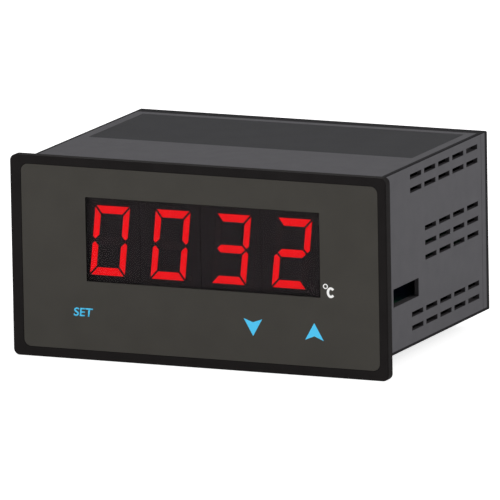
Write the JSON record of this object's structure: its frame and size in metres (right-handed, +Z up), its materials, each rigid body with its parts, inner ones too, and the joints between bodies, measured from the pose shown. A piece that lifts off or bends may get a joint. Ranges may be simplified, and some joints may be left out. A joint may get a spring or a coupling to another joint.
{
  "type": "digital panel meter",
  "caption": "Panel-mounted temperature indicator: wide black bezel, red digital display, sprung keys under a grey film, vented grey case with rear screw terminals.",
  "frame": {"origin": "centre of the bezel flange's rear face, which lies on the panel", "axes": "+X to the right as seen from the front, +Y back into the panel along the case, +Z up"},
  "size_m": [0.192, 0.136, 0.096],
  "materials": {
    "bezel_black": "fine moulded texture",
    "film_grey": "satin printed film",
    "pane_smoked": "clear tinted acrylic",
    "housing_black": "matt black moulding",
    "segment_red": "red light bars, lit",
    "key_black": "moulded",
    "case_grey": "fine moulded texture",
    "label_dark": "satin, bare",
    "board_green": "solder mask",
    "chip_black": "moulded epoxy",
    "screw_steel": "zinc plated",
    "spring_steel": "bright",
    "terminal_green": "moulded",
    "contact_brass": "plated",
    "core_steel": "varnished laminations",
    "bobbin_cream": "moulded",
    "winding_tape": "yellow tape over copper wire",
    "capacitor_blue": "shrunk sleeve",
    "sink_aluminium": "extruded",
    "relay_blue": "moulded",
    "fuse_glass": "glass tube with metal caps",
    "varistor_blue": "dipped coating"
  },
  "bodies": {
    "root": {"front_bezel": "bezel_black", "front_film": "film_grey", "display_pane": "pane_smoked", "bezel_screws": "screw_steel", "set_switch_base": "housing_black", "down_switch_base": "housing_black", "up_switch_base": "housing_black", "switch_domes": "spring_steel", "display_board": "board_green", "display_board_screws": "screw_steel", "digit_1_housing": "housing_black", "digit_2_housing": "housing_black", "digit_3_housing": "housing_black", "digit_4_housing": "housing_black", "digit_1_segments": "segment_red", "digit_2_segments": "segment_red", "digit_3_segments": "segment_red", "digit_4_segments": "segment_red", "segment_driver_chips": "chip_black", "link_socket": "chip_black", "case": "case_grey", "top_label": "label_dark", "rear_cover": "case_grey", "rear_cover_screws": "screw_steel", "main_board": "board_green", "link_header": "contact_brass", "terminal_block_left": "terminal_green", "terminal_block_right": "terminal_green", "terminal_screws": "screw_steel", "terminal_cages": "contact_brass", "transformer_core": "core_steel", "transformer_bobbin": "bobbin_cream", "transformer_winding": "winding_tape", "filter_capacitor_large": "capacitor_blue", "filter_capacitor_small": "capacitor_blue", "bridge_rectifier": "chip_black", "voltage_regulator": "chip_black", "regulator_heat_sink": "sink_aluminium", "regulator_screw": "screw_steel", "alarm_relay_1": "relay_blue", "alarm_relay_2": "relay_blue", "fuse": "fuse_glass", "fuse_clips": "contact_brass", "varistor": "varistor_blue", "controller_chip": "chip_black", "crystal": "spring_steel", "input_amplifier_chip": "chip_black"},
    "set_key": {"set_button": "key_black", "set_switch_plunger": "key_black"},
    "down_key": {"down_button": "key_black", "down_switch_plunger": "key_black"},
    "up_key": {"up_button": "key_black", "up_switch_plunger": "key_black"}
  },
  "joints": [
    {"name": "set_press", "type": "slide", "parent": "root", "child": "set_key", "axis": [0, 1, 0], "range_m": [0, 0.0003], "stiffness_N_per_m": 100, "springref_m": -0.002},
    {"name": "down_press", "type": "slide", "parent": "root", "child": "down_key", "axis": [0, 1, 0], "range_m": [0, 0.0003], "stiffness_N_per_m": 100, "springref_m": -0.002},
    {"name": "up_press", "type": "slide", "parent": "root", "child": "up_key", "axis": [0, 1, 0], "range_m": [0, 0.0003], "stiffness_N_per_m": 100, "springref_m": -0.002}
  ]
}
